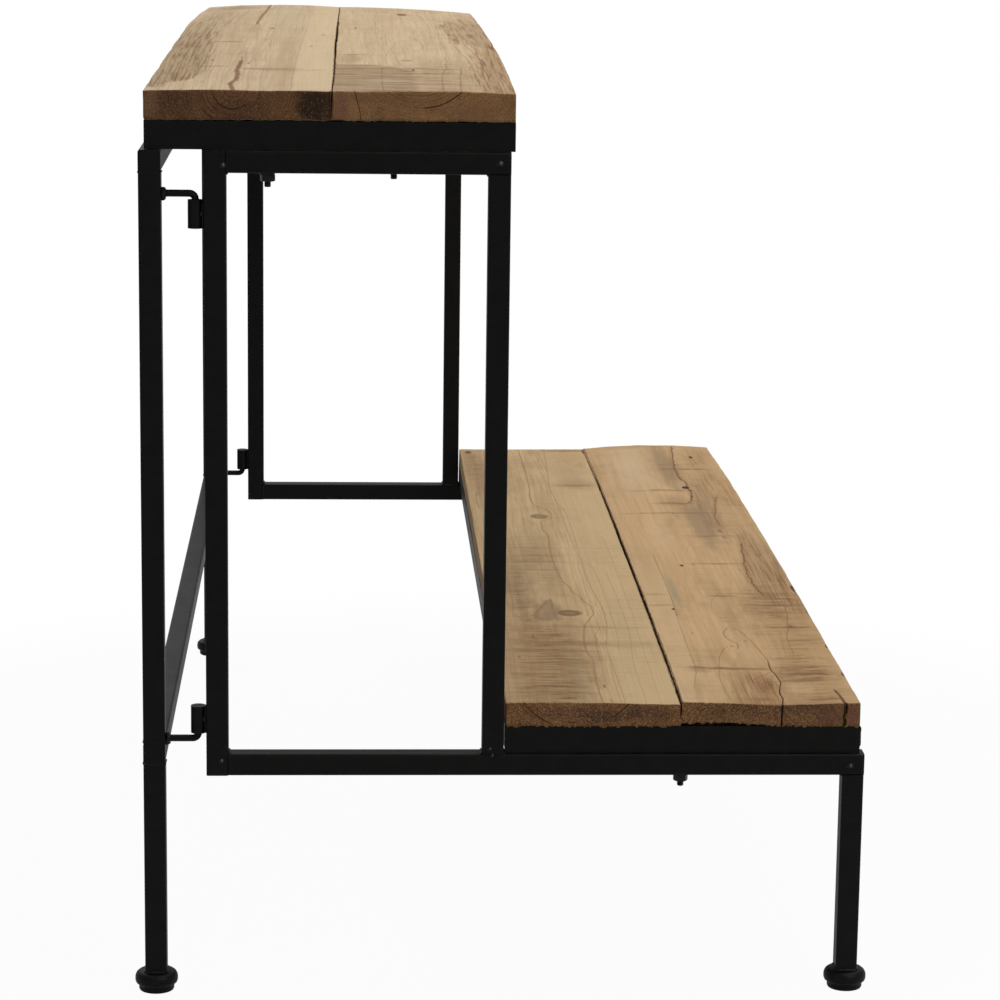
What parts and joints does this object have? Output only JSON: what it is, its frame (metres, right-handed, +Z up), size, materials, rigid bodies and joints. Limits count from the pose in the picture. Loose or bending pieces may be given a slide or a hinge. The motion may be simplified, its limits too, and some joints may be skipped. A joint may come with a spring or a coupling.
{
  "type": "two-tier plant stand",
  "caption": "Two-tier plant stand: a square steel tube frame with hinged end frames that fold in, and two lift-off shelves of old boards on steel trays.",
  "frame": {"origin": "on the floor under the middle of the stand", "axes": "+X along the shelves, +Y to the back where the rear frame stands, +Z up"},
  "size_m": [1.2384, 0.647, 0.8008],
  "materials": {
    "black_paint": "satin black paint over welded steel tube",
    "old_wood": "raw old boards with saw marks, knots and rough ends",
    "bolt_steel": "black painted bolts and nuts",
    "screw_steel": "dull zinc wood screws"
  },
  "bodies": {
    "rear_frame": {"rear_top_rail": "black_paint", "rear_bottom_rail": "black_paint", "rear_rail_end_caps": "black_paint", "left_rear_upright": "black_paint", "right_rear_upright": "black_paint", "left_rear_leg": "black_paint", "right_rear_leg": "black_paint", "left_rear_foot": "black_paint", "right_rear_foot": "black_paint", "left_upper_hinge_hook": "black_paint", "left_lower_hinge_hook": "black_paint", "right_upper_hinge_hook": "black_paint", "right_lower_hinge_hook": "black_paint"},
    "left_end_frame": {"left_end_rear_upright": "black_paint", "left_end_front_upright": "black_paint", "left_end_top_rail": "black_paint", "left_end_bottom_rail": "black_paint", "left_end_caps": "black_paint", "left_front_leg": "black_paint", "left_front_foot": "black_paint", "left_upper_hinge_socket": "black_paint", "left_lower_hinge_socket": "black_paint", "left_shelf_bolts": "bolt_steel", "left_shelf_washers": "bolt_steel", "left_shelf_nuts": "bolt_steel"},
    "right_end_frame": {"right_end_rear_upright": "black_paint", "right_end_front_upright": "black_paint", "right_end_top_rail": "black_paint", "right_end_bottom_rail": "black_paint", "right_end_caps": "black_paint", "right_front_leg": "black_paint", "right_front_foot": "black_paint", "right_upper_hinge_socket": "black_paint", "right_lower_hinge_socket": "black_paint", "right_shelf_bolts": "bolt_steel", "right_shelf_washers": "bolt_steel", "right_shelf_nuts": "bolt_steel"},
    "top_shelf": {"top_tray_left_bar": "black_paint", "top_tray_right_bar": "black_paint", "top_tray_front_bar": "black_paint", "top_tray_rear_bar": "black_paint", "top_front_board": "old_wood", "top_rear_board": "old_wood", "top_board_screws": "screw_steel"},
    "lower_shelf": {"lower_tray_left_bar": "black_paint", "lower_tray_right_bar": "black_paint", "lower_tray_front_bar": "black_paint", "lower_tray_rear_bar": "black_paint", "lower_front_board": "old_wood", "lower_rear_board": "old_wood", "lower_board_screws": "screw_steel"}
  },
  "joints": [
    {"name": "left_end_fold", "type": "hinge", "parent": "rear_frame", "child": "left_end_frame", "pos_m": [-0.6005, 0.26675, 0.45], "axis": [0, 0, 1], "range_deg": [0, 90]},
    {"name": "right_end_fold", "type": "hinge", "parent": "rear_frame", "child": "right_end_frame", "pos_m": [0.6005, 0.26675, 0.45], "axis": [0, 0, -1], "range_deg": [0, 90]},
    {"name": "top_shelf_lift", "type": "slide", "parent": "rear_frame", "child": "top_shelf", "axis": [0, 0, 1], "range_m": [0, 0.06]},
    {"name": "lower_shelf_lift", "type": "slide", "parent": "rear_frame", "child": "lower_shelf", "axis": [0, 0, 1], "range_m": [0, 0.06]}
  ]
}
